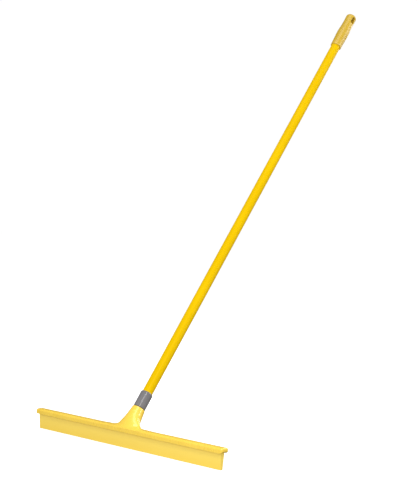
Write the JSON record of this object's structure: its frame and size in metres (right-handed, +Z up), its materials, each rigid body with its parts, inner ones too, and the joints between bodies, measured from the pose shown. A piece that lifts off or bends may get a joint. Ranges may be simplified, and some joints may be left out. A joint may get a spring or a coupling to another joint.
{
  "type": "floor squeegee",
  "caption": "Floor squeegee: straight T-shaped head with a soft wedge blade, leaning threaded socket, and a long straight pole with a hang slot in its end grip.",
  "frame": {"origin": "middle of the blade's working edge, on the floor", "axes": "+X along the head, +Y to the side the pole leans to, +Z up; stored in use, blade upright and pole leaning 36 degrees"},
  "size_m": [0.55, 0.7279, 1.0081],
  "materials": {
    "head_moulding": "pale yellow moulded polypropylene, fine matte",
    "soft_blade": "pale yellow soft moulded blade, matte",
    "washer_rubber": "dark rubber, matte",
    "grey_moulding": "mid grey moulded plastic, satin",
    "tube_steel": "drawn steel tube, hidden",
    "pole_skin": "saturated yellow plastic skin, glossy",
    "grip_moulding": "pale yellow moulded plastic, satin"
  },
  "bodies": {
    "head": {"head_frame": "head_moulding", "blade": "soft_blade"},
    "washer": {"seal_washer": "washer_rubber"},
    "handle": {"threaded_collar": "grey_moulding", "handle_tube": "tube_steel", "handle_skin": "pole_skin", "grip_cap": "grip_moulding"}
  },
  "joints": [
    {"name": "unscrew_travel", "type": "slide", "parent": "head", "child": "washer", "axis": [0, 0.5878, 0.809], "range_m": [0, 0.028]},
    {"name": "unscrew_turn", "type": "hinge", "parent": "washer", "child": "handle", "pos_m": [0, 0.0085, 0.0376], "axis": [0, 0.5878, 0.809], "range_deg": [0, 1984.5]}
  ],
  "couplings": [
    {"joint": "unscrew_turn", "follows": "unscrew_travel", "rad_per_m": 1236.8}
  ]
}
